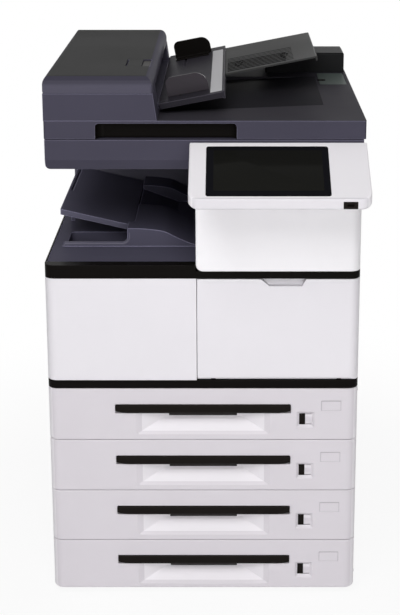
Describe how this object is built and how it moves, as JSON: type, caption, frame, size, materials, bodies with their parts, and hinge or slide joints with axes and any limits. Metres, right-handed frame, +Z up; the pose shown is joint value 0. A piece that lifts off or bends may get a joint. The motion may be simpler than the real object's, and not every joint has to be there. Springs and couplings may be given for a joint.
{
  "type": "multifunction printer",
  "caption": "Floor-standing office printer with stacked paper drawers, tilting touch panel, in-body output space, flatbed scanner and hinged document feeder.",
  "frame": {"origin": "on the floor, at the centre of the whole machine's footprint", "axes": "+Z up, -Y towards the user at the front, +X to the user's right"},
  "size_m": [0.605, 0.804, 1.0479],
  "materials": {
    "white_cover": "fine moulded grain",
    "dark_cover": "fine moulded grain",
    "black_gloss": "polished",
    "screen": "polished cover glass over a dark display",
    "frame_steel": "galvanised sheet",
    "ground_steel": "ground rod",
    "grey_plastic": "moulded",
    "tray_plastic": "moulded",
    "black_plastic": "moulded",
    "rubber": "matte",
    "platen": "clear float glass",
    "pad_white": "smooth film over foam"
  },
  "bodies": {
    "machine": {"chassis": "frame_steel", "levelling_feet": "rubber", "left_cover": "white_cover", "right_cover": "white_cover", "rear_cover": "white_cover", "waist_band": "black_gloss", "front_left_cover": "white_cover", "lip_trim": "black_gloss", "output_shelf": "dark_cover", "exit_tray": "dark_cover", "exit_unit": "dark_cover", "column_cover": "white_cover", "panel_bracket": "dark_cover", "scanner_housing": "dark_cover", "platen_glass": "platen", "carriage_rail": "ground_steel", "lid_hinge_posts": "frame_steel", "inner_cover": "grey_plastic", "toner_cartridges": "black_plastic", "power_inlet": "black_plastic"},
    "front_door": {"front_door": "white_cover"},
    "side_door": {"side_door": "white_cover"},
    "bypass_tray": {"bypass_tray": "white_cover"},
    "exit_rollers": {"exit_rollers": "rubber"},
    "control_panel": {"control_panel": "white_cover", "touch_screen": "screen", "usb_port": "black_plastic"},
    "scan_carriage": {"scan_carriage": "black_plastic"},
    "lid": {"lid_cover": "dark_cover", "platen_pad": "pad_white", "feeder_base": "dark_cover"},
    "feeder_cover": {"feeder_cover": "dark_cover"},
    "feeder_latch": {"feeder_latch": "dark_cover"},
    "pickup_roller": {"pickup_roller": "rubber"},
    "feed_roller": {"feed_roller": "rubber"},
    "document_tray": {"document_tray": "dark_cover"},
    "tray_extension": {"tray_extension": "dark_cover"},
    "document_guide_front": {"document_guide_front": "dark_cover"},
    "document_guide_rear": {"document_guide_rear": "dark_cover"},
    "power_switch": {"power_switch": "black_plastic"},
    "tray_1": {"tray_1_pan": "tray_plastic", "tray_1_front": "white_cover", "tray_1_handle": "black_plastic"},
    "tray_1_lift_plate": {"tray_1_lift_plate": "frame_steel"},
    "tray_1_end_guide": {"tray_1_end_guide": "grey_plastic"},
    "tray_2": {"tray_2_pan": "tray_plastic", "tray_2_front": "white_cover", "tray_2_handle": "black_plastic"},
    "tray_2_lift_plate": {"tray_2_lift_plate": "frame_steel"},
    "tray_2_end_guide": {"tray_2_end_guide": "grey_plastic"},
    "tray_3": {"tray_3_pan": "tray_plastic", "tray_3_front": "white_cover", "tray_3_handle": "black_plastic"},
    "tray_3_lift_plate": {"tray_3_lift_plate": "frame_steel"},
    "tray_3_end_guide": {"tray_3_end_guide": "grey_plastic"},
    "tray_4": {"tray_4_pan": "tray_plastic", "tray_4_front": "white_cover", "tray_4_handle": "black_plastic"},
    "tray_4_lift_plate": {"tray_4_lift_plate": "frame_steel"},
    "tray_4_end_guide": {"tray_4_end_guide": "grey_plastic"}
  },
  "joints": [
    {"name": "front_door_hinge", "type": "hinge", "parent": "machine", "child": "front_door", "pos_m": [0.12, -0.254, 0.4674], "axis": [1, 0, 0], "range_deg": [0, 85]},
    {"name": "side_door_hinge", "type": "hinge", "parent": "machine", "child": "side_door", "pos_m": [0.293, 0.059, 0.4728], "axis": [0, 1, 0], "range_deg": [0, 60]},
    {"name": "bypass_tray_hinge", "type": "hinge", "parent": "side_door", "child": "bypass_tray", "pos_m": [0.297, 0.064, 0.5028], "axis": [0, 1, 0], "range_deg": [0, 75]},
    {"name": "exit_roller_spin", "type": "hinge", "parent": "machine", "child": "exit_rollers", "pos_m": [0.0017, 0.074, 0.751], "axis": [0, 1, 0], "continuous": true},
    {"name": "panel_tilt", "type": "hinge", "parent": "machine", "child": "control_panel", "pos_m": [0.145, -0.277, 0.88289], "axis": [1, 0, 0], "range_deg": [0, 40]},
    {"name": "carriage_slide", "type": "slide", "parent": "machine", "child": "scan_carriage", "axis": [1, 0, 0], "range_m": [0, 0.46]},
    {"name": "lid_hinge", "type": "hinge", "parent": "machine", "child": "lid", "pos_m": [0, 0.391, 0.9458], "axis": [-1, 0, 0], "range_deg": [0, 60]},
    {"name": "feeder_cover_hinge", "type": "hinge", "parent": "lid", "child": "feeder_cover", "pos_m": [-0.287, 0.059, 1.0251], "axis": [0, -1, 0], "range_deg": [0, 70]},
    {"name": "feeder_latch_hinge", "type": "hinge", "parent": "feeder_cover", "child": "feeder_latch", "pos_m": [-0.144, -0.081, 1.0454], "axis": [0, -1, 0], "range_deg": [0, 35], "stiffness_Nm_per_rad": 0.03},
    {"name": "pickup_roller_spin", "type": "hinge", "parent": "lid", "child": "pickup_roller", "pos_m": [-0.182, 0.084, 1.0013], "axis": [0, 1, 0], "continuous": true},
    {"name": "feed_roller_spin", "type": "hinge", "parent": "lid", "child": "feed_roller", "pos_m": [-0.14, 0.084, 1.0013], "axis": [0, 1, 0], "continuous": true},
    {"name": "document_tray_hinge", "type": "hinge", "parent": "lid", "child": "document_tray", "pos_m": [-0.074, 0.106, 0.9823], "axis": [0, -1, 0], "range_deg": [0, 25]},
    {"name": "extension_slide", "type": "slide", "parent": "document_tray", "child": "tray_extension", "axis": [0.9816, 0, 0.1908], "range_m": [-0.1, 0]},
    {"name": "guide_front_slide", "type": "slide", "parent": "document_tray", "child": "document_guide_front", "axis": [0, 1, 0], "range_m": [0, 0.1]},
    {"name": "guide_rear_slide", "type": "slide", "parent": "document_tray", "child": "document_guide_rear", "axis": [0, 1, 0], "range_m": [-0.1, 0]},
    {"name": "power_switch_rock", "type": "hinge", "parent": "machine", "child": "power_switch", "pos_m": [0.256, 0.375, 0.064], "axis": [1, 0, 0], "range_deg": [-8, 8]},
    {"name": "tray_1_slide", "type": "slide", "parent": "machine", "child": "tray_1", "axis": [0, -1, 0], "range_m": [0, 0.4]},
    {"name": "tray_1_plate_hinge", "type": "hinge", "parent": "tray_1", "child": "tray_1_lift_plate", "pos_m": [-0.188, 0.035, 0.3509], "axis": [0, -1, 0], "range_deg": [0, 8]},
    {"name": "tray_1_guide_slide", "type": "slide", "parent": "tray_1", "child": "tray_1_end_guide", "axis": [1, 0, 0], "range_m": [0, 0.15]},
    {"name": "tray_2_slide", "type": "slide", "parent": "machine", "child": "tray_2", "axis": [0, -1, 0], "range_m": [0, 0.4]},
    {"name": "tray_2_plate_hinge", "type": "hinge", "parent": "tray_2", "child": "tray_2_lift_plate", "pos_m": [-0.188, 0.035, 0.2436], "axis": [0, -1, 0], "range_deg": [0, 8]},
    {"name": "tray_2_guide_slide", "type": "slide", "parent": "tray_2", "child": "tray_2_end_guide", "axis": [1, 0, 0], "range_m": [0, 0.15]},
    {"name": "tray_3_slide", "type": "slide", "parent": "machine", "child": "tray_3", "axis": [0, -1, 0], "range_m": [0, 0.4]},
    {"name": "tray_3_plate_hinge", "type": "hinge", "parent": "tray_3", "child": "tray_3_lift_plate", "pos_m": [-0.188, 0.035, 0.1363], "axis": [0, -1, 0], "range_deg": [0, 8]},
    {"name": "tray_3_guide_slide", "type": "slide", "parent": "tray_3", "child": "tray_3_end_guide", "axis": [1, 0, 0], "range_m": [0, 0.15]},
    {"name": "tray_4_slide", "type": "slide", "parent": "machine", "child": "tray_4", "axis": [0, -1, 0], "range_m": [0, 0.4]},
    {"name": "tray_4_plate_hinge", "type": "hinge", "parent": "tray_4", "child": "tray_4_lift_plate", "pos_m": [-0.188, 0.035, 0.029], "axis": [0, -1, 0], "range_deg": [0, 8]},
    {"name": "tray_4_guide_slide", "type": "slide", "parent": "tray_4", "child": "tray_4_end_guide", "axis": [1, 0, 0], "range_m": [0, 0.15]}
  ],
  "couplings": [
    {"joint": "feed_roller_spin", "follows": "pickup_roller_spin", "ratio": 1},
    {"joint": "guide_rear_slide", "follows": "guide_front_slide", "ratio": -1}
  ]
}
